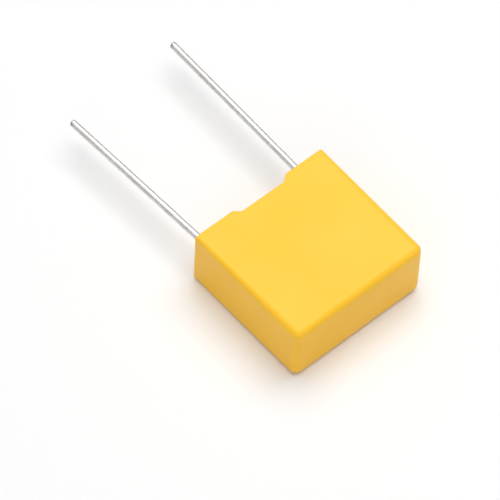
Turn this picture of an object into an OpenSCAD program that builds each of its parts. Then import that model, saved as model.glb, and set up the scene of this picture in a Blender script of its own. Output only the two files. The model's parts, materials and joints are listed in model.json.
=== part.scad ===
// Box film capacitor with two radial wire leads, lying on one of its broad sides.
//
// Frame: X runs along the lead pitch, +Y out of the case towards the lead tips, Z up.
// The origin is midway between the leads, on the seating plane (the rim of the case),
// level with the side that the capacitor lies on.

/* [Case] */
// Width of the case, along the lead pitch
case_w = 13; // [12.6:0.1:13.4]
// Depth of the case, from its closed end to its rim
case_h = 12; // [11.6:0.1:13]
// Thickness of the case, between its broad sides
case_t = 5.8; // [5.6:0.1:7]
// Thickness of the side walls at the rim
wall = 0.7; // [0.6:0.05:0.75]
// Thickness of the closed end
end_wall = 0.85; // [0.7:0.05:1]
// Edge radius round the closed end
end_r = 0.65; // [0.5:0.05:1]
// Radius of the long edges where they reach the rim
rim_r = 0.35; // [0.25:0.05:0.5]
// How much thicker each wall is at the closed end than at the rim
core_draft = 0.08; // [0:0.02:0.12]
// Bevel round the inside of the rim
lip = 0.15; // [0.05:0.05:0.25]

/* [Rim notch] */
// Width of the notch where it meets the rim
notch_w = 5.4; // [3:0.1:7]
// Depth of the notch below the rim
notch_d = 0.48; // [0.3:0.02:0.5]
// Slope of the notch's sides, from the rim
notch_angle = 42; // [35:1:60]
// Radius where the sides meet the rim and the floor
notch_r = 0.4; // [0.1:0.05:0.5]

/* [Inner ribs] */
// Distance of the two ribs on each broad wall from the middle
rib_x = 2.8; // [1.5:0.1:3.6]
// Width of a rib
rib_w = 0.5; // [0.3:0.1:0.8]
// How far a rib stands out of the wall at the rim
rib_out = 0.2; // [0.1:0.02:0.2]
// Length of a rib, from the closed end
rib_len = 8.2; // [5:0.1:9]

/* [Winding] */
// Width of the metallised film, along X
film_w = 8.7; // [8.4:0.1:8.8]
// Height of the flattened roll, along Y
roll_h = 8.4; // [7:0.1:8.4]
// Thickness of the flattened roll
roll_t = 3.4; // [3:0.1:3.4]
// Thickness of the plain film wrapped round the roll
wrap = 0.15; // [0.1:0.05:0.2]
// Thickness of the metal sprayed on each end of the roll
spray = 0.45; // [0.3:0.05:0.45]
// Rounding of the sprayed metal's outer edge
spray_edge = 0.12; // [0.05:0.01:0.2]
// Gap between the roll and the closed end
roll_gap = 0.35; // [0.2:0.05:0.5]

/* [Leads] */
// Distance between the two leads at the case
pitch = 10; // [10:0.1:10.2]
// Diameter of the wire
wire_d = 0.6; // [0.5:0.05:0.6]
// Length of the left lead beyond the rim
left_len = 15.8; // [5:0.1:30]
// Length of the right lead beyond the rim
right_len = 16.5; // [5:0.1:30]
// Outward lean of the left lead, in degrees
left_lean = 2.4; // [1:0.1:4]
// Outward lean of the right lead, in degrees
right_lean = 1; // [1:0.1:4]
// Bevel round each cut tip
tip_bevel = 0.07; // [0.03:0.01:0.15]
// Radius of the solder bead on each end of the roll
bead_r = 0.9; // [0.7:0.05:1]
// Height of the solder bead above the sprayed metal
bead_h = 0.65; // [0.6:0.05:0.7]

/* [Resin] */
// Depth of the resin's surface below the rim, in the middle
resin_low = 0.8; // [0.75:0.05:1.2]
// Depth of the resin's surface below the rim, where it climbs the walls
resin_high = 0.55; // [0.52:0.01:0.65]
// Height of the small collar of resin round each lead
collar_h = 0.2; // [0.1:0.05:0.25]

/* [Hidden] */

$fn = 48;
wire_r = wire_d / 2;
mid_z = case_t / 2;
// inside of the case at the rim and at the closed end
mouth_w = case_w - 2 * wall;
mouth_t = case_t - 2 * wall;
core_w = mouth_w - 2 * core_draft;
core_t = mouth_t - 2 * core_draft;
core_y = end_wall - case_h;
core_r = 0.5;
mouth_r = 0.25;
// the flattened roll with its wrap
pack_h = roll_h + 2 * wrap;
pack_t = roll_t + 2 * wrap;
roll_y = core_y + roll_gap + pack_h / 2;
spray_face = film_w / 2 + spray;
// the leads
bend_y = 0.2;
lead_foot_y = roll_y - 2.2;
bead_y = roll_y - 0.9;
// the resin's dished surface: how far in from the walls it reaches, and its corner radius there
dish_reach = 1.4;
dish_r = 0.6;
dish_steps = 7;
thin = 0.01;
over = 1;

// Points of an arc of radius r round c, from angle a to angle b
function arc(c, r, a, b, steps = 6) =
    [for (i = [0:steps]) c + r * [cos(a + (b - a) * i / steps), sin(a + (b - a) * i / steps)]];

// A ball whose poles and equator reach exactly r
module ball(r) {
    rotate_extrude($fn = 32) intersection() {
        circle(r, $fn = 32);
        translate([0, -r]) square([r, 2 * r]);
    }
}

// Four rods that mark the corners of a rounded plate across Y, its upper face at y
module corner_rods(w, t, r, y) {
    for (sx = [-1, 1], sz = [-1, 1])
        translate([sx * (w / 2 - r), y, mid_z + sz * (t / 2 - r)])
            rotate([90, 0, 0]) cylinder(r = r, h = thin, $fn = 32);
}

// A box with a fully rounded closed end, whose long edges sharpen towards the open end
module tapered_box(w0, t0, r0, y0, w1, t1, r1, y1) {
    hull() {
        for (sx = [-1, 1], sz = [-1, 1])
            translate([sx * (w0 / 2 - r0), y0 + r0, mid_z + sz * (t0 / 2 - r0)]) ball(r0);
        corner_rods(w1, t1, r1, y1);
    }
}

// Racetrack outline of the flattened roll, drawn with its height along the second axis
module racetrack(h, t) {
    square([t, h - t], center = true);
    for (s = [-1, 1]) translate([0, s * (h - t) / 2]) circle(d = t);
}

// Extrudes an outline along X from x0 to x1, centred on the roll
module along_x(x0, x1) {
    translate([x0, roll_y, mid_z]) rotate([90, 0, 90]) linear_extrude(x1 - x0)
        rotate(90) children();
}

// Region that the notch takes out of the rim: sloped sides with rounded turns
module notch_profile() {
    turn = notch_r * tan(notch_angle / 2);
    slope_w = notch_d / tan(notch_angle);
    top_x = notch_w / 2 + turn;
    floor_x = notch_w / 2 - slope_w - turn;
    right = concat(
        arc([floor_x, notch_r - notch_d], notch_r, -90, notch_angle - 90),
        arc([top_x, -notch_r], notch_r, 90 + notch_angle, 90));
    left = [for (i = [len(right) - 1:-1:0]) [-right[i].x, right[i].y]];
    polygon(concat(right, [[top_x, over], [-top_x, over]], left));
}

module rim_notches() {
    translate([0, 0, -over]) linear_extrude(case_t + 2 * over) notch_profile();
}

// Two ribs on each broad wall that hold the roll off the wall while the resin flows in.
// Each is rooted halfway through the closed end and through its wall.
module ribs() {
    rib_t = wall + rib_out;
    root_y = core_y - end_wall / 2;
    for (x = [-rib_x, rib_x], z = [0, case_t - rib_t])
        translate([x - rib_w / 2, root_y, z]) cube([rib_w, core_y + rib_len - root_y, rib_t]);
}

// The space inside the case, running out past the rim
module hollow() {
    difference() {
        tapered_box(core_w, core_t, core_r, core_y, mouth_w, mouth_t, mouth_r, over);
        ribs();
    }
}

// Bevel round the mouth
module lip_cut() {
    hull() {
        corner_rods(mouth_w, mouth_t, mouth_r, -lip);
        corner_rods(mouth_w + 4 * lip, mouth_t + 4 * lip, mouth_r + 2 * lip, lip);
    }
}

module case() {
    color("gold") difference() {
        tapered_box(case_w, case_t, end_r, -case_h, case_w, case_t, rim_r, 0);
        hollow();
        lip_cut();
        rim_notches();
    }
}

module film_winding() {
    color("gainsboro") along_x(-film_w / 2, film_w / 2) racetrack(roll_h, roll_t);
}

module outer_wrap() {
    color("lightyellow") along_x(-film_w / 2, film_w / 2) difference() {
        racetrack(pack_h, pack_t);
        racetrack(roll_h, roll_t);
    }
}

// Sprayed metal over one end of the roll, with the groove that the wire is pressed into
module end_spray(side) {
    near = film_w / 2;
    step = spray_face - spray_edge;
    color("darkgray") difference() {
        union() {
            along_x(min(side * near, side * step), max(side * near, side * step))
                racetrack(pack_h, pack_t);
            along_x(min(side * step, side * spray_face), max(side * step, side * spray_face))
                racetrack(pack_h - 2 * spray_edge, pack_t - 2 * spray_edge);
        }
        lead_root(side);
    }
}

// The stretch of wire that runs straight through the resin
module lead_root(side) {
    translate([side * pitch / 2, lead_foot_y, mid_z]) rotate([-90, 0, 0])
        cylinder(r = wire_r, h = bend_y + wire_r - lead_foot_y);
}

// Everything on one side of the mitre plane of a lead's bend: ahead of it (1) or behind it (-1)
module mitre_side(turn, way) {
    size = 4 * bend_y + 4 * wire_d;
    rotate(turn / 2) translate([0, way * size / 2, 0]) cube(size, center = true);
}

// One lead: the straight root, mitred to the free length with its slight lean and cut tip
module lead(side, lean, length) {
    free = length - bend_y - tip_bevel;
    turn = -side * lean;
    color("silver") {
        difference() {
            lead_root(side);
            translate([side * pitch / 2, bend_y, mid_z]) mitre_side(turn, 1);
        }
        translate([side * pitch / 2, bend_y, mid_z]) difference() {
            rotate([-90, 0, turn]) {
                translate([0, 0, -wire_d]) cylinder(r = wire_r, h = free + wire_d);
                translate([0, 0, free]) cylinder(r1 = wire_r, r2 = wire_r - tip_bevel, h = tip_bevel);
            }
            mitre_side(turn, -1);
        }
    }
}

// Solder bead that holds the wire to the sprayed metal: a dome cut flat at the spray's face
module solder(side) {
    dome_r = (bead_r * bead_r + bead_h * bead_h) / (2 * bead_h);
    color("slategray") difference() {
        translate([side * (spray_face + bead_h - dome_r), bead_y, mid_z]) sphere(r = dome_r);
        translate([side * (spray_face - 2 * dome_r), bead_y, mid_z]) cube(4 * dome_r, center = true);
        lead_root(side);
    }
}

// Dished body of air above the resin. Its underside falls from the walls to the middle as the
// cube of the distance left, which is the resin's surface where it wetted the walls and shrank.
module air_above_resin() {
    hull() {
        corner_rods(mouth_w + over, mouth_t + over, dish_r, over);
        for (i = [-1:dish_steps]) {
            share = i / dish_steps;
            inset = dish_reach * share;
            corner_rods(mouth_w - 2 * inset, mouth_t - 2 * inset, mouth_r + (dish_r - mouth_r) * share,
                thin - resin_low + (resin_low - resin_high) * pow(1 - share, 3));
        }
    }
}

// Collar of resin that climbs one lead, narrowing along an arc, and is rooted below the surface
module resin_collar(x) {
    foot_r = wire_r + collar_h;
    translate([x, -resin_low, mid_z]) rotate([-90, 0, 0]) rotate_extrude()
        polygon(concat([[0, -collar_h], [foot_r, -collar_h]],
            arc([foot_r + collar_h * 0.1, collar_h], collar_h, 264, 198, 4), [[0, 0.7 * collar_h]]));
}

// Resin that fills the case round the roll and seals the lead end
module potting_resin() {
    color("wheat") difference() {
        union() {
            difference() {
                hollow();
                air_above_resin();
            }
            for (s = [-1, 1]) resin_collar(s * pitch / 2);
        }
        along_x(-film_w / 2, film_w / 2) racetrack(pack_h, pack_t);
        for (s = [-1, 1]) {
            end_spray(s);
            lead_root(s);
            solder(s);
        }
    }
}

case();
potting_resin();
film_winding();
outer_wrap();
end_spray(-1);  // end_spray_left
end_spray(1);  // end_spray_right
solder(-1);  // solder_left
solder(1);  // solder_right
lead(-1, left_lean, left_len);  // lead_left
lead(1, right_lean, right_len);  // lead_right
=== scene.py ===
"""Box film capacitor: a satin yellow moulded case, sealed with resin, with two tinned wire leads.

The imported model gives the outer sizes, the leads' places and the hidden nodes. The case and the leads
are worked out here as smooth parametric surfaces of the same form, with the source's own radii, and
every node gets its own procedural finish.
"""

import json
import math

import bmesh
import bpy
import numpy as np
from mathutils import Matrix, Vector


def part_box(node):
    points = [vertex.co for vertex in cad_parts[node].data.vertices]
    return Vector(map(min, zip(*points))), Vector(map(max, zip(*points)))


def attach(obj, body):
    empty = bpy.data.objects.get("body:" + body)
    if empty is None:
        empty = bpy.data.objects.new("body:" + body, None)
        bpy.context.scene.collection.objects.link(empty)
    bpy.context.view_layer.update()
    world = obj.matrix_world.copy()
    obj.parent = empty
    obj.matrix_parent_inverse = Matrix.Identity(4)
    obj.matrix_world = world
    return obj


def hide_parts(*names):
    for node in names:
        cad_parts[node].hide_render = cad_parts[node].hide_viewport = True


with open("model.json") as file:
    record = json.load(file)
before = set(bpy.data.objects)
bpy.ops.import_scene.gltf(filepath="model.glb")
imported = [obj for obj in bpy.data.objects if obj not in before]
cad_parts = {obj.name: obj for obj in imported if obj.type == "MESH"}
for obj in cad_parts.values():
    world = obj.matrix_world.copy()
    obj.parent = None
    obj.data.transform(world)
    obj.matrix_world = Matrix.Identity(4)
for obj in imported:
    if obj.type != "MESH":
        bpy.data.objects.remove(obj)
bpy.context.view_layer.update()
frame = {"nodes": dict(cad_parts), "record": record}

MM = 0.001
ROOT = "root"
SIDES = ("left", "right")

# the moulded case
CASE_LOW, CASE_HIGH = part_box("case")
CASE_W = CASE_HIGH.x - CASE_LOW.x
CASE_T = CASE_HIGH.z - CASE_LOW.z
CLOSED_Y = CASE_LOW.y
MID_Z = CASE_T / 2
WALL = 0.7 * MM
END_WALL = 0.85 * MM
END_RADIUS = 0.65 * MM
FACE_CORNER = 0.2 * MM
RIM_RADIUS = 0.35 * MM
RIM_EDGE = 0.05 * MM
LIP = 0.15 * MM
THIN_LIP = 0.03 * MM
CORE_DRAFT = 0.08 * MM
CORE_RADIUS = 0.5 * MM
MOUTH_RADIUS = 0.25 * MM
FLOOR_CORNER = 0.2  # corner radius of the inner floor, as a share of the core's
SINK = 0.012 * MM

# how finely the case is divided
END_STEPS = 15
WALL_STEPS = 30
RIM_STEPS = 5
INNER_STEPS = 26
FLOOR_STEPS = 8
FACE_INSETS = (0.85, 0.7, 0.55, 0.4, 0.28, 0.18, 0.1, 0.05, 0.02, 0.005)
FLAT_SHARE = 0.004  # how near the end of a flat its last row of points stands
SAME_PLACE = 1e-8

# the notch in the rim of each broad wall
NOTCH_W = 5.4 * MM
NOTCH_DEPTH = 0.48 * MM
NOTCH_ANGLE = math.radians(42)
NOTCH_RADIUS = 0.4 * MM

# the ribs inside each broad wall
RIB_X = 2.8 * MM
RIB_W = 0.5 * MM
RIB_OUT = 0.2 * MM
RIB_LENGTH = 8.2 * MM

# the wire leads; lengths without MM are in wire radii
WIRE_BOW = 0.012 * MM
TURN_REACH = 1.6
TURN_CLEAR = 2
TIP_ROUND = 0.07 * MM
TIP_CLEAR = 2.2 * TIP_ROUND
TIP_INSET = 0.3
TIP_DEGREES = 84
CUT_SLANT = 0.12
CUT_REACH = 3
CUT_PHASE = 0.7
CUT_MARK = 1.0
CUT_SIDE = 2.5
CUT_LEAST = 0.25

# how finely the wire is divided: round it, then along its foot, turn, free length and tip
WIRE_AROUND = 40
FOOT_STEPS = 14
TURN_STEPS = 9
FREE_STEPS = 70
TIP_STEPS = 9

# the resin's skin
WELD_DISTANCE = 0.5e-6
SHARP_ANGLE = math.radians(38)

# colours, linear
YELLOW_DEEP = (0.98, 0.545, 0.022, 1)
YELLOW_PALE = (1.0, 0.565, 0.032, 1)
TIN_BRIGHT = (0.76, 0.765, 0.755, 1)
TIN_DULL = (0.64, 0.61, 0.59, 1)
TIN_LINE = (0.38, 0.37, 0.36, 1)
TIN_CUT = (0.1, 0.09, 0.085, 1)
RESIN_DEEP = (0.8, 0.5, 0.1, 1)
RESIN_PALE = (0.88, 0.6, 0.17, 1)
FILM_DARK = (0.42, 0.43, 0.45, 1)
FILM_PALE = (0.62, 0.63, 0.65, 1)
WRAP_DARK = (0.7, 0.68, 0.6, 1)
WRAP_PALE = (0.85, 0.83, 0.76, 1)
SPRAY_DARK = (0.26, 0.27, 0.28, 1)
SPRAY_PALE = (0.5, 0.51, 0.52, 1)
SOLDER_DARK = (0.45, 0.46, 0.47, 1)
SOLDER_PALE = (0.7, 0.71, 0.72, 1)
FLOOR_COLOUR = (0.9, 0.9, 0.9, 1)
FLOOR_PALE = (0.92, 0.92, 0.92, 1)

# shares of one pattern in another
PIT_SHARE = 0.35
BLOTCH_SHARE = 0.6
CUT_SHARE = 0.9

# the camera stands well back and looks down on the closed end and the left side
CAMERA_TURN = (-43.577, 56.866, 3.275)
CAMERA_FROM = Vector((-148.61, -155.54, 327.12)) * MM
LENS_MM = 360.0
SENSOR_MM = 36.0
CLIP_NEAR = 0.05
CLIP_FAR = 5.0

# the studio
KEY_PLACE = (0.06, 0.03, 0.3)
KEY_SIZE = 0.28
KEY_POWER = 0.84
FILL_PLACE = (-0.28, -0.25, 0.25)
FILL_SIZE = 0.34
FILL_POWER = 0.34
SURROUND = 0.33
HORIZON_GLOSS = 0.42
HORIZON_SPAN = (0.1, 0.6)
FLOOR_HALF = 1.5

# where a noise's values mostly lie
NOISE_SPAN = (0.3, 0.7)


# ---------------------------------------------------------------- surfaces

def mesh_from_rings(name, rings, first_pole, last_pole):
    """A closed skin over a stack of closed rings: rings[v, u] is a grid of points that wraps round
    in u, and each end is closed with a fan of triangles to its pole."""
    count, around = rings.shape[:2]
    points = np.concatenate([rings.reshape(-1, 3), [first_pole, last_pole]])
    here = np.arange(around)
    after = np.roll(here, -1)
    start = np.arange(count - 1)[:, None] * around
    quads = np.stack([start + here, start + after, start + around + after, start + around + here], -1)
    last = (count - 1) * around
    fan_a = np.stack([np.full(around, count * around), after, here], -1)
    fan_b = np.stack([np.full(around, count * around + 1), last + here, last + after], -1)
    loops = np.concatenate([quads.ravel(), fan_a.ravel(), fan_b.ravel()])
    sizes = np.concatenate([np.full((count - 1) * around, 4), np.full(2 * around, 3)])
    mesh = bpy.data.meshes.new(name)
    mesh.vertices.add(len(points))
    mesh.vertices.foreach_set("co", points.astype(np.float32).ravel())
    mesh.loops.add(len(loops))
    mesh.loops.foreach_set("vertex_index", loops.astype(np.int32))
    mesh.polygons.add(len(sizes))
    mesh.polygons.foreach_set("loop_start", np.concatenate([[0], np.cumsum(sizes)[:-1]]).astype(np.int32))
    mesh.polygons.foreach_set("use_smooth", np.ones(len(sizes), bool))
    mesh.update(calc_edges=True)
    mesh.validate()
    if signed_volume(points, quads) < 0:
        mesh.flip_normals()
    piece = bpy.data.objects.new(name, mesh)
    bpy.context.scene.collection.objects.link(piece)
    return piece


def signed_volume(points, quads):
    """Six times the volume inside the quads, positive where they wind outwards: the sum over
    triangles of the triple product of their corners."""
    a, b, c, d = (points[quads[..., k]] for k in range(4))
    return np.sum(a * np.cross(b, c)) + np.sum(a * np.cross(c, d))


def spread(low, high, steps, tight=0.0):
    """Even stops from low to high. Where tight is above 0, two more stops stand that share of the
    span inside each end, so that a flat stays flat right up to its rounded edge."""
    stops = np.linspace(0, 1, steps)
    if tight:
        stops = np.sort(np.concatenate([stops, [tight, 1 - tight]]))
    return low + (high - low) * stops


def rounded_ring(long_steps=110, short_steps=22, corner_steps=10):
    """One turn round a rounded rectangle, as seen along Y. Each sample is a place on an inner
    rectangle (a, in units of its half sides) and a direction (n): the point is a times the half
    side less the radius, plus n times the radius."""
    places, directions = [], []
    sides = [((1, 1), (-1, 1), (0, 1), long_steps), ((-1, 1), (-1, -1), (-1, 0), short_steps),
             ((-1, -1), (1, -1), (0, -1), long_steps), ((1, -1), (1, 1), (1, 0), short_steps)]
    for turn, (start, end, normal, steps) in enumerate(sides):
        share = spread(0, 1, steps, FLAT_SHARE)[:, None]
        places.append(np.array(start) * (1 - share) + np.array(end) * share)
        directions.append(np.repeat([normal], len(share), 0))
        angle = np.radians(90 + 90 * turn + 90 * np.arange(1, corner_steps) / corner_steps)
        places.append(np.repeat([end], len(angle), 0))
        directions.append(np.stack([np.cos(angle), np.sin(angle)], -1))
    return np.concatenate(places).astype(float), np.concatenate(directions).astype(float)


def notch_depth(x):
    """Depth of the rim's notch at x: a level floor, an arc up from it, a straight slope, an arc
    over into the rim, then nothing. Both arcs have the same radius and meet the slope smoothly."""
    turn = NOTCH_RADIUS * math.tan(NOTCH_ANGLE / 2)
    floor_x = NOTCH_W / 2 - NOTCH_DEPTH / math.tan(NOTCH_ANGLE) - turn
    rim_x = NOTCH_W / 2 + turn
    reach = NOTCH_RADIUS * math.sin(NOTCH_ANGLE)
    a = np.abs(x)
    low_arc = NOTCH_DEPTH - NOTCH_RADIUS + np.sqrt(np.maximum(NOTCH_RADIUS**2 - (a - floor_x) ** 2, 0))
    slope = (NOTCH_W / 2 - a) * math.tan(NOTCH_ANGLE)
    high_arc = NOTCH_RADIUS - np.sqrt(np.maximum(NOTCH_RADIUS**2 - (a - rim_x) ** 2, 0))
    return np.select([a < floor_x, a < floor_x + reach, a < rim_x - reach, a < rim_x],
                     [NOTCH_DEPTH, low_arc, slope, high_arc], 0.0)


def station_rows(*parts):
    """Joins runs of stations. Each run gives half x, half z, corner radius, y, follow, lip in, lip down
    and inside, and a single number stands for the whole run. Where a run starts at the station that
    the last one ended on, that station is kept once."""
    rows = []
    for part in parts:
        steps = max(np.size(value) for value in part)
        rows.append(np.stack([np.broadcast_to(value, steps) for value in part], -1))
    rows = np.concatenate(rows).astype(float)
    step = np.abs(np.diff(rows, axis=0)).max(1)
    return rows[np.concatenate([[True], step > SAME_PLACE])].T[..., None]


def case_stations():
    """The case's profile, from the middle of the closed end out over its rounded edge, along the
    outer wall to the rim, over the lip, down the drafted inner wall and across the inner floor.
    A rounded edge is a quarter circle: its inset grows as the sine or cosine of its angle."""
    hx, hz = CASE_W / 2, CASE_T / 2
    face_x, face_z = hx - END_RADIUS, hz - END_RADIUS
    core_y = CLOSED_Y + END_WALL
    core_x, core_z = hx - WALL - CORE_DRAFT, hz - WALL - CORE_DRAFT
    grow = 1 - np.array(FACE_INSETS)
    shrink = grow[::-1]
    bend = np.radians(spread(0, 90, END_STEPS))
    wall = spread(0, 1, WALL_STEPS, FLAT_SHARE)
    edge = np.radians(spread(0, 90, RIM_STEPS))
    inner = spread(0, 1, INNER_STEPS, FLAT_SHARE)
    turn = np.radians(spread(0, 90, FLOOR_STEPS))
    over_end = END_RADIUS * (1 - np.sin(bend))
    over_rim = RIM_EDGE * (1 - np.cos(edge))
    into_floor = CORE_RADIUS * (1 - np.cos(turn))
    return station_rows(
        (grow * face_x, grow * face_z, grow * FACE_CORNER, CLOSED_Y, 0, 0, 0, 0),
        (hx - over_end, hz - over_end, FACE_CORNER + (END_RADIUS - FACE_CORNER) * np.sin(bend),
         CLOSED_Y + END_RADIUS * (1 - np.cos(bend)), 0, 0, 0, 0),
        (hx, hz, END_RADIUS + wall * (RIM_RADIUS - END_RADIUS),
         (CLOSED_Y + END_RADIUS) * (1 - wall) - RIM_EDGE * wall, wall, 0, 0, 0),
        (hx - over_rim, hz - over_rim, RIM_RADIUS, -RIM_EDGE * (1 - np.sin(edge)), 1, 0, 0, 0),
        (hx - WALL, hz - WALL, MOUTH_RADIUS + LIP, 0.0, 1, 1, 0, 0),
        (hx - WALL, hz - WALL, MOUTH_RADIUS, 0.0, 1, 0, 1, 0),
        (hx - WALL - CORE_DRAFT * inner, hz - WALL - CORE_DRAFT * inner,
         MOUTH_RADIUS + (CORE_RADIUS - MOUTH_RADIUS) * inner, (core_y + CORE_RADIUS) * inner,
         1 - inner, 0, 1 - inner, 1),
        (core_x - into_floor, core_z - into_floor, CORE_RADIUS - (1 - FLOOR_CORNER) * into_floor,
         core_y + CORE_RADIUS * (1 - np.sin(turn)), 0, 0, 0, 1),
        (shrink * (core_x - CORE_RADIUS), shrink * (core_z - CORE_RADIUS),
         shrink * FLOOR_CORNER * CORE_RADIUS, core_y, 0, 0, 0, 1))


def sunk(x, y):
    """How far a broad side sinks at each point: a squared cosine across the case, times a sine along
    its depth, so that it fades out at every edge."""
    across = np.cos(np.clip(x / CASE_W, -0.5, 0.5) * np.pi) ** 2
    return SINK * across * np.sin(np.pi * np.clip(y / CLOSED_Y, 0, 1))


def ribbed(x, y, z, wall):
    """The inner wall with its ribs: where wall is true and x and y lie on a rib, z is held at the
    rib's crest or nearer the middle."""
    on_rib = (np.abs(np.abs(x) - RIB_X) < RIB_W / 2) & (y < CLOSED_Y + END_WALL + RIB_LENGTH)
    crest = CASE_T / 2 - WALL - RIB_OUT
    return np.where(wall & on_rib, np.sign(z) * np.minimum(np.abs(z), crest), z)


def make_case():
    """The whole moulding as one skin: a rounded rectangle carried along the case's profile. The rim
    drops by the notch's depth at each x, the ribs hold part of the inner wall at one level, and each
    broad side sinks a hair in its middle, as thick mouldings do."""
    hx, hz, radius, y, follow, lip_in, lip_down, inside = case_stations()
    places, directions = rounded_ring()
    a_x, a_z = places.T
    n_x, n_z = directions.T
    x = a_x * (hx + lip_in * LIP - radius) + n_x * radius
    depth = notch_depth(x)
    lip = np.maximum(LIP - depth, THIN_LIP)
    z = a_z * (hz + lip_in * lip - radius) + n_z * radius
    y = y - follow * depth - lip_down * lip
    broad = n_x == 0
    z = z - (1 - inside) * broad * sunk(x, y) * np.sign(a_z)
    z = ribbed(x, y, z, (inside > 0) & broad)
    rings = np.stack([x, y, z + MID_Z], -1)
    piece = mesh_from_rings("case_shell", rings, (0, CLOSED_Y, MID_Z), (0, CLOSED_Y + END_WALL, MID_Z))
    finish_piece(piece, "case")
    return piece


def wire_stops(radius, foot, free):
    """Places along the wire's centre line, closer together in its turn and over its rounded tip, with
    the share of the full radius at each. The share falls away at the tip as a quarter ellipse."""
    tip = np.radians(spread(0, TIP_DEGREES, TIP_STEPS))
    turn = TURN_REACH * radius
    clear = TURN_CLEAR * radius
    stops = np.concatenate([spread(foot, -clear, FOOT_STEPS), spread(-turn, turn, TURN_STEPS),
                            spread(clear, free - TIP_CLEAR, FREE_STEPS),
                            free - TIP_ROUND * (1 - np.sin(tip))])
    size = np.ones(len(stops))
    size[-len(tip):] = 1 - TIP_INSET * (1 - np.cos(tip))
    return stops, size


def wire_line(stops, foot, free, lean, radius):
    """The centre line's angle, its x and y, and its lift. The angle goes from nothing to the lean by
    the cubic smooth step, x and y add up its sine and cosine, and the lift is a squared sine."""
    share = np.clip(stops / (2 * TURN_REACH * radius) + 0.5, 0, 1)
    angle = lean * share * share * (3 - 2 * share)
    step = np.diff(stops, prepend=stops[0])
    x = np.cumsum(np.sin(angle) * step)
    y = np.cumsum(np.cos(angle) * step) + foot
    bow = WIRE_BOW * np.sin(np.pi * np.clip(stops / free, 0, 1)) ** 2
    return angle[:, None], x[:, None], y[:, None], bow[:, None]


def mark_cut(piece, from_tip, round_it):
    """Stores how freshly cut each point is: strongest at the tip and on one side of the wire, as the
    cosine of the angle to that side."""
    fresh = np.clip(1 - from_tip / CUT_MARK, 0, 1)[:, None]
    fresh = fresh * (CUT_LEAST + (1 - CUT_LEAST) * np.clip(np.cos(round_it - CUT_SIDE), 0, 1))
    values = np.concatenate([fresh.ravel(), [0, 1]])
    cut = piece.data.attributes.new("cut_end", "FLOAT", "POINT")
    cut.data.foreach_set("value", values.astype(np.float32))


def make_lead(side, name):
    """A round wire swept along its centre line: straight through the resin, a smooth turn of the
    lead's small lean, then straight on. Each ring is a circle across the line, and because the cut
    end slants, it slides back along the line by one minus the sine round it."""
    mount = next(m for m in frame["record"]["mounts"] if m["name"] == f"lead_{side}_pin")
    radius = mount["dims"]["r_mm"] * MM
    free = mount["dims"]["length_mm"] * MM + TIP_ROUND
    turn_at = np.array(mount["pos_m"])
    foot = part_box(f"lead_{side}")[0].y - turn_at[1]
    lean = math.atan2(mount["axis"][0], mount["axis"][1])
    stops, size = wire_stops(radius, foot, free)
    angle, x, y, bow = wire_line(stops, foot, free, lean, radius)
    round_it = np.linspace(0, 2 * np.pi, WIRE_AROUND, endpoint=False)
    across = (size[:, None] * np.cos(round_it)) * radius
    up = (size[:, None] * np.sin(round_it)) * radius
    from_tip = (free - stops) / radius
    slant = np.clip(1 - from_tip / CUT_REACH, 0, 1)[:, None] * CUT_SLANT * radius
    slide = slant * (np.sin(round_it + CUT_PHASE) - 1)
    rings = np.stack([turn_at[0] + x + across * np.cos(angle) + slide * np.sin(angle),
                      turn_at[1] + y - across * np.sin(angle) + slide * np.cos(angle),
                      turn_at[2] + bow + up], -1)
    piece = mesh_from_rings(name, rings, rings[0].mean(0), rings[-1].mean(0))
    mark_cut(piece, from_tip, round_it)
    finish_piece(piece, f"lead_{side}")
    return piece


def make_resin():
    """The cured resin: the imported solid's own skin with its triangles joined, so that the dished
    surface and the collars round the leads shade smoothly."""
    mesh = frame["nodes"]["potting_resin"].data.copy()
    work = bmesh.new()
    work.from_mesh(mesh)
    bmesh.ops.remove_doubles(work, verts=work.verts, dist=WELD_DISTANCE)
    for face in work.faces:
        face.smooth = True
    work.to_mesh(mesh)
    work.free()
    mesh.set_sharp_from_angle(angle=SHARP_ANGLE)
    mesh.materials.clear()
    piece = bpy.data.objects.new("resin_fill", mesh)
    bpy.context.scene.collection.objects.link(piece)
    finish_piece(piece, "potting_resin")
    return piece


def finish_piece(piece, node):
    """Fixes a new piece to the one body and hides the node that it stands for."""
    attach(piece, ROOT)
    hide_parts(node)


# ---------------------------------------------------------------- finishes

def new_group(name, inputs, outputs):
    """A shader node group with its sockets, given as (name, kind, start value)."""
    tree = bpy.data.node_groups.new(name, "ShaderNodeTree")
    for label, kind, start in inputs:
        socket = tree.interface.new_socket(label, in_out="INPUT", socket_type=kind)
        if start is not None:
            socket.default_value = start
    for label, kind in outputs:
        tree.interface.new_socket(label, in_out="OUTPUT", socket_type=kind)
    return tree, tree.nodes.new("NodeGroupInput"), tree.nodes.new("NodeGroupOutput")


def feed(tree, socket, value):
    """Links a socket to the value where that is a socket too, and otherwise sets it."""
    if isinstance(value, bpy.types.NodeSocket):
        tree.links.new(value, socket)
    else:
        socket.default_value = value


def add(tree, kind, settings=None, **values):
    """Adds a node. settings are its properties; values are its input sockets by name, and a socket
    is linked where the value is one. An underscore in a name stands for a space."""
    node = tree.nodes.new(kind)
    for key, value in (settings or {}).items():
        setattr(node, key, value)
    for key, value in values.items():
        feed(tree, node.inputs[key.replace("_", " ")], value)
    return node


def calc(tree, operation, *values):
    """A math node on numbers or sockets."""
    node = tree.nodes.new("ShaderNodeMath")
    node.operation = operation
    for socket, value in zip(node.inputs, values):
        feed(tree, socket, value)
    return node.outputs[0]


def remap(tree, value, span, result):
    """A clamped straight-line change from one range to another."""
    node = add(tree, "ShaderNodeMapRange", None, From_Min=span[0], From_Max=span[1],
               To_Min=result[0], To_Max=result[1], Value=value)
    return node.outputs["Result"]


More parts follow.
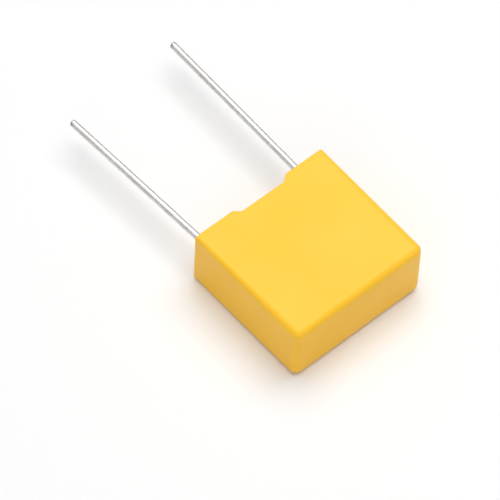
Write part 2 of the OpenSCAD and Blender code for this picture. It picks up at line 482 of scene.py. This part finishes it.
def mix_colour(tree, share, first, second):
    """A colour between two others. The mix node's colours are its sockets 6 and 7, and its output 2."""
    node = tree.nodes.new("ShaderNodeMix")
    node.data_type = "RGBA"
    for socket, value in ((0, share), (6, first), (7, second)):
        feed(tree, node.inputs[socket], value)
    return node.outputs[2]


def new_finish(name, **values):
    """A material with one Principled shader, its even values set on the sockets, and the object's
    own coordinates."""
    material = bpy.data.materials.new(name)
    material.use_nodes = True
    tree = material.node_tree
    tree.nodes.clear()
    shader = add(tree, "ShaderNodeBsdfPrincipled", None, **values)
    out = add(tree, "ShaderNodeOutputMaterial")
    tree.links.new(shader.outputs[0], out.inputs[0])
    place = add(tree, "ShaderNodeTexCoord").outputs["Object"]
    return material, tree, shader, place


def bump_into(tree, shader, height, distance, strength):
    """Feeds a height in the given depth to the shader's normal."""
    bump = add(tree, "ShaderNodeBump", None, Strength=strength, Distance=distance, Height=height)
    tree.links.new(bump.outputs[0], shader.inputs["Normal"])


def grain_group():
    """Fine skin of a moulded or cured surface: a close grain for bump, and a slow drift for tone."""
    tree, start, end = new_group(
        "surface_grain",
        [("Place", "NodeSocketVector", None), ("Grain", "NodeSocketFloat", 6000.0),
         ("Drift", "NodeSocketFloat", 250.0)],
        [("Height", "NodeSocketFloat"), ("Tone", "NodeSocketFloat")])
    place, grain, drift = (start.outputs[k] for k in ("Place", "Grain", "Drift"))
    fine = add(tree, "ShaderNodeTexNoise", None, Vector=place, Scale=grain, Detail=3.0, Roughness=0.6)
    pits = add(tree, "ShaderNodeTexVoronoi", None, Vector=place, Scale=grain)
    pitted = calc(tree, "MULTIPLY", pits.outputs["Distance"], PIT_SHARE)
    height = calc(tree, "ADD", fine.outputs["Fac"], pitted)
    slow = add(tree, "ShaderNodeTexNoise", None, Vector=place, Scale=drift, Detail=2.0, Roughness=0.5)
    tree.links.new(height, end.inputs["Height"])
    tree.links.new(slow.outputs["Fac"], end.inputs["Tone"])
    return tree


def streak_group():
    """Marks drawn out along the wire or the film: noise squeezed across it, with blotches over it."""
    tree, start, end = new_group(
        "drawn_streaks",
        [("Place", "NodeSocketVector", None), ("Stretch", "NodeSocketVector", (1.0, 1.0, 1.0)),
         ("Scale", "NodeSocketFloat", 4000.0), ("Blotch", "NodeSocketFloat", 1200.0)],
        [("Streak", "NodeSocketFloat"), ("Blotch", "NodeSocketFloat")])
    place, stretch, scale, blotch = (start.outputs[k] for k in ("Place", "Stretch", "Scale", "Blotch"))
    squeezed = add(tree, "ShaderNodeVectorMath", {"operation": "MULTIPLY"})
    tree.links.new(place, squeezed.inputs[0])
    tree.links.new(stretch, squeezed.inputs[1])
    streak = add(tree, "ShaderNodeTexNoise", None, Vector=squeezed.outputs[0], Scale=scale, Detail=4.0,
                 Roughness=0.6)
    spots = add(tree, "ShaderNodeTexNoise", None, Vector=place, Scale=blotch, Detail=3.0, Roughness=0.65)
    tree.links.new(streak.outputs["Fac"], end.inputs["Streak"])
    tree.links.new(spots.outputs["Fac"], end.inputs["Blotch"])
    return tree


def use_group(tree, group, **values):
    """Places a shared group in a material with its own values."""
    node = tree.nodes.new("ShaderNodeGroup")
    node.node_tree = group
    for key, value in values.items():
        feed(tree, node.inputs[key], value)
    return node.outputs


def case_plastic(grain):
    """Satin yellow thermoplastic: even colour with a faint drift, and a very fine spark-eroded grain
    that breaks up the gloss."""
    material, tree, shader, place = new_finish("case_plastic", Specular_IOR_Level=0.3)
    skin = use_group(tree, grain, Place=place, Grain=7000.0, Drift=160.0)
    tone = remap(tree, skin["Tone"], NOISE_SPAN, (0, 1))
    feed(tree, shader.inputs["Base Color"], mix_colour(tree, tone, YELLOW_DEEP, YELLOW_PALE))
    feed(tree, shader.inputs["Roughness"], remap(tree, skin["Tone"], NOISE_SPAN, (0.44, 0.36)))
    bump_into(tree, shader, skin["Height"], distance=0.004 * MM, strength=0.5)
    return material


def wire_finish(streaks):
    """Tinned wire: bright metal with marks drawn along it, duller blotches and a darker cut end."""
    material, tree, shader, place = new_finish("tinned_wire", Metallic=1.0)
    marks = use_group(tree, streaks, Place=place, Stretch=(1.0, 0.6, 1.0), Scale=9000.0, Blotch=900.0)
    dull = remap(tree, marks["Blotch"], (0.36, 0.64), (0, 1))
    colour = mix_colour(tree, dull, TIN_BRIGHT, TIN_DULL)
    line = remap(tree, marks["Streak"], (0.38, 0.62), (0, 0.45))
    colour = mix_colour(tree, line, colour, TIN_LINE)
    cut = add(tree, "ShaderNodeAttribute", {"attribute_name": "cut_end"}).outputs["Fac"]
    colour = mix_colour(tree, calc(tree, "MULTIPLY", cut, CUT_SHARE), colour, TIN_CUT)
    feed(tree, shader.inputs["Base Color"], colour)
    feed(tree, shader.inputs["Roughness"], remap(tree, marks["Blotch"], (0.35, 0.7), (0.2, 0.36)))
    blotches = calc(tree, "MULTIPLY", marks["Blotch"], BLOTCH_SHARE)
    height = calc(tree, "ADD", marks["Streak"], blotches)
    bump_into(tree, shader, height, distance=0.005 * MM, strength=0.35)
    return material


def resin_finish(grain):
    """Cured epoxy: smooth and glossy, a little cloudy, with a slow change of tone."""
    material, tree, shader, place = new_finish("resin", IOR=1.54, Coat_Weight=0.3, Coat_Roughness=0.08)
    skin = use_group(tree, grain, Place=place, Grain=1500.0, Drift=420.0)
    tone = remap(tree, skin["Tone"], NOISE_SPAN, (0, 1))
    feed(tree, shader.inputs["Base Color"], mix_colour(tree, tone, RESIN_DEEP, RESIN_PALE))
    feed(tree, shader.inputs["Roughness"], remap(tree, skin["Tone"], NOISE_SPAN, (0.16, 0.3)))
    bump_into(tree, shader, skin["Height"], distance=0.01 * MM, strength=0.25)
    return material


def film_finish(streaks, name, dark, pale, metallic):
    """Wound film: fine lines across the roll where the turns' edges and wrinkles show."""
    material, tree, shader, place = new_finish(name, Metallic=metallic, IOR=1.5)
    marks = use_group(tree, streaks, Place=place, Stretch=(0.08, 1.0, 1.0), Scale=5000.0, Blotch=500.0)
    line = remap(tree, marks["Streak"], (0.35, 0.65), (0, 1))
    feed(tree, shader.inputs["Base Color"], mix_colour(tree, line, dark, pale))
    feed(tree, shader.inputs["Roughness"], remap(tree, marks["Blotch"], NOISE_SPAN, (0.18, 0.34)))
    bump_into(tree, shader, marks["Streak"], distance=0.01 * MM, strength=0.5)
    return material


def granular_finish(grain, name, dark, pale, size, depth, rough):
    """Metal that set from drops: a coarse crust on the sprayed ends, a softer one on the solder. The
    crust has size grains to the metre and the given depth, and rough is its range of roughness."""
    material, tree, shader, place = new_finish(name, Metallic=0.9)
    skin = use_group(tree, grain, Place=place, Grain=size, Drift=size / 5)
    high = remap(tree, skin["Height"], (0.4, 0.9), (0, 1))
    feed(tree, shader.inputs["Base Color"], mix_colour(tree, high, dark, pale))
    feed(tree, shader.inputs["Roughness"], remap(tree, skin["Tone"], NOISE_SPAN, rough))
    bump_into(tree, shader, skin["Height"], distance=depth, strength=1.0)
    return material


def paint(piece, material):
    """Gives a piece its one finish."""
    piece.data.materials.clear()
    piece.data.materials.append(material)


# ---------------------------------------------------------------- studio

def make_camera():
    """A long lens far away, turned a little about its own axis, aimed past the case's middle."""
    camera = bpy.data.objects.new("camera", bpy.data.cameras.new("camera"))
    bpy.context.scene.collection.objects.link(camera)
    camera.data.lens = LENS_MM
    camera.data.sensor_width = SENSOR_MM
    camera.data.clip_start = CLIP_NEAR
    camera.data.clip_end = CLIP_FAR
    azimuth, elevation, roll = (math.radians(a) for a in CAMERA_TURN)
    back = Vector((math.sin(azimuth) * math.cos(elevation), -math.cos(azimuth) * math.cos(elevation),
                   math.sin(elevation)))
    right = Vector((0, 0, 1)).cross(back).normalized()
    up = back.cross(right)
    tilted_right = right * math.cos(roll) + up * math.sin(roll)
    tilted_up = up * math.cos(roll) - right * math.sin(roll)
    turn = Matrix((tilted_right, tilted_up, back)).transposed()
    camera.matrix_world = Matrix.Translation(CAMERA_FROM) @ turn.to_4x4()
    bpy.context.scene.camera = camera


def make_floor(grain):
    """A wide pale table top."""
    corners = [(x * FLOOR_HALF, y * FLOOR_HALF, 0) for x, y in ((-1, -1), (1, -1), (1, 1), (-1, 1))]
    mesh = bpy.data.meshes.new("floor")
    mesh.from_pydata(corners, [], [(0, 1, 2, 3)])
    floor = bpy.data.objects.new("floor", mesh)
    bpy.context.scene.collection.objects.link(floor)
    material, tree, shader, place = new_finish("pale_floor", Roughness=0.7, Specular_IOR_Level=0.2)
    skin = use_group(tree, grain, Place=place, Grain=900.0, Drift=6.0)
    tone = remap(tree, skin["Tone"], NOISE_SPAN, (0, 1))
    feed(tree, shader.inputs["Base Color"], mix_colour(tree, tone, FLOOR_COLOUR, FLOOR_PALE))
    paint(floor, material)


def area_light(name, place, size, power):
    """A square soft light that faces the object."""
    light = bpy.data.lights.new(name, "AREA")
    light.shape = "SQUARE"
    light.size = size
    light.energy = power
    lamp = bpy.data.objects.new(name, light)
    bpy.context.scene.collection.objects.link(lamp)
    lamp.location = place
    lamp.rotation_euler = Vector(place).to_track_quat("Z", "Y").to_euler()


def make_light():
    """A big soft light overhead, a weak one from the front and an even pale surround. The surround
    is white where it is seen, and what glossy surfaces mirror of it dims towards the horizon."""
    area_light("overhead", KEY_PLACE, KEY_SIZE, KEY_POWER)
    area_light("front_fill", FILL_PLACE, FILL_SIZE, FILL_POWER)
    world = bpy.data.worlds.new("surround")
    bpy.context.scene.world = world
    world.use_nodes = True
    tree = world.node_tree
    tree.nodes.clear()
    path = add(tree, "ShaderNodeLightPath")
    seen = calc(tree, "MAXIMUM", path.outputs["Is Camera Ray"], path.outputs["Is Transmission Ray"])
    look = add(tree, "ShaderNodeTexCoord").outputs["Generated"]
    height = add(tree, "ShaderNodeSeparateXYZ", None, Vector=look).outputs["Z"]
    mirrored = remap(tree, height, HORIZON_SPAN, (HORIZON_GLOSS, 1))
    mirrored = calc(tree, "MULTIPLY", path.outputs["Is Glossy Ray"], mirrored)
    plain = calc(tree, "SUBTRACT", 1.0, path.outputs["Is Glossy Ray"])
    strength = calc(tree, "ADD", calc(tree, "MULTIPLY", plain, SURROUND), mirrored)
    strength = calc(tree, "MAXIMUM", strength, seen)
    glow = add(tree, "ShaderNodeBackground", None, Color=(1, 1, 1, 1), Strength=strength)
    out = add(tree, "ShaderNodeOutputWorld")
    tree.links.new(glow.outputs[0], out.inputs[0])


def dress_part():
    """Makes the pieces and gives each of them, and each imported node, its finish."""
    grain, streaks = grain_group(), streak_group()
    wire = wire_finish(streaks)
    paint(make_case(), case_plastic(grain))
    paint(make_resin(), resin_finish(grain))
    for side in SIDES:
        paint(make_lead(side, f"lead_{side}_wire"), wire)
    nodes = frame["nodes"]
    film = film_finish(streaks, "metallised_film", FILM_DARK, FILM_PALE, metallic=0.7)
    paint(nodes["film_winding"], film)
    wrap = film_finish(streaks, "clear_film", WRAP_DARK, WRAP_PALE, metallic=0.0)
    paint(nodes["outer_wrap"], wrap)
    spray = granular_finish(grain, "sprayed_metal", SPRAY_DARK, SPRAY_PALE, size=9000.0,
                            depth=0.03 * MM, rough=(0.5, 0.7))
    solder = granular_finish(grain, "solder", SOLDER_DARK, SOLDER_PALE, size=2500.0,
                             depth=0.015 * MM, rough=(0.25, 0.45))
    for side in SIDES:
        paint(nodes[f"end_spray_{side}"], spray)
        paint(nodes[f"solder_{side}"], solder)
    make_floor(grain)


bpy.context.scene.view_settings.view_transform = "Standard"
make_camera()
make_light()
dress_part()
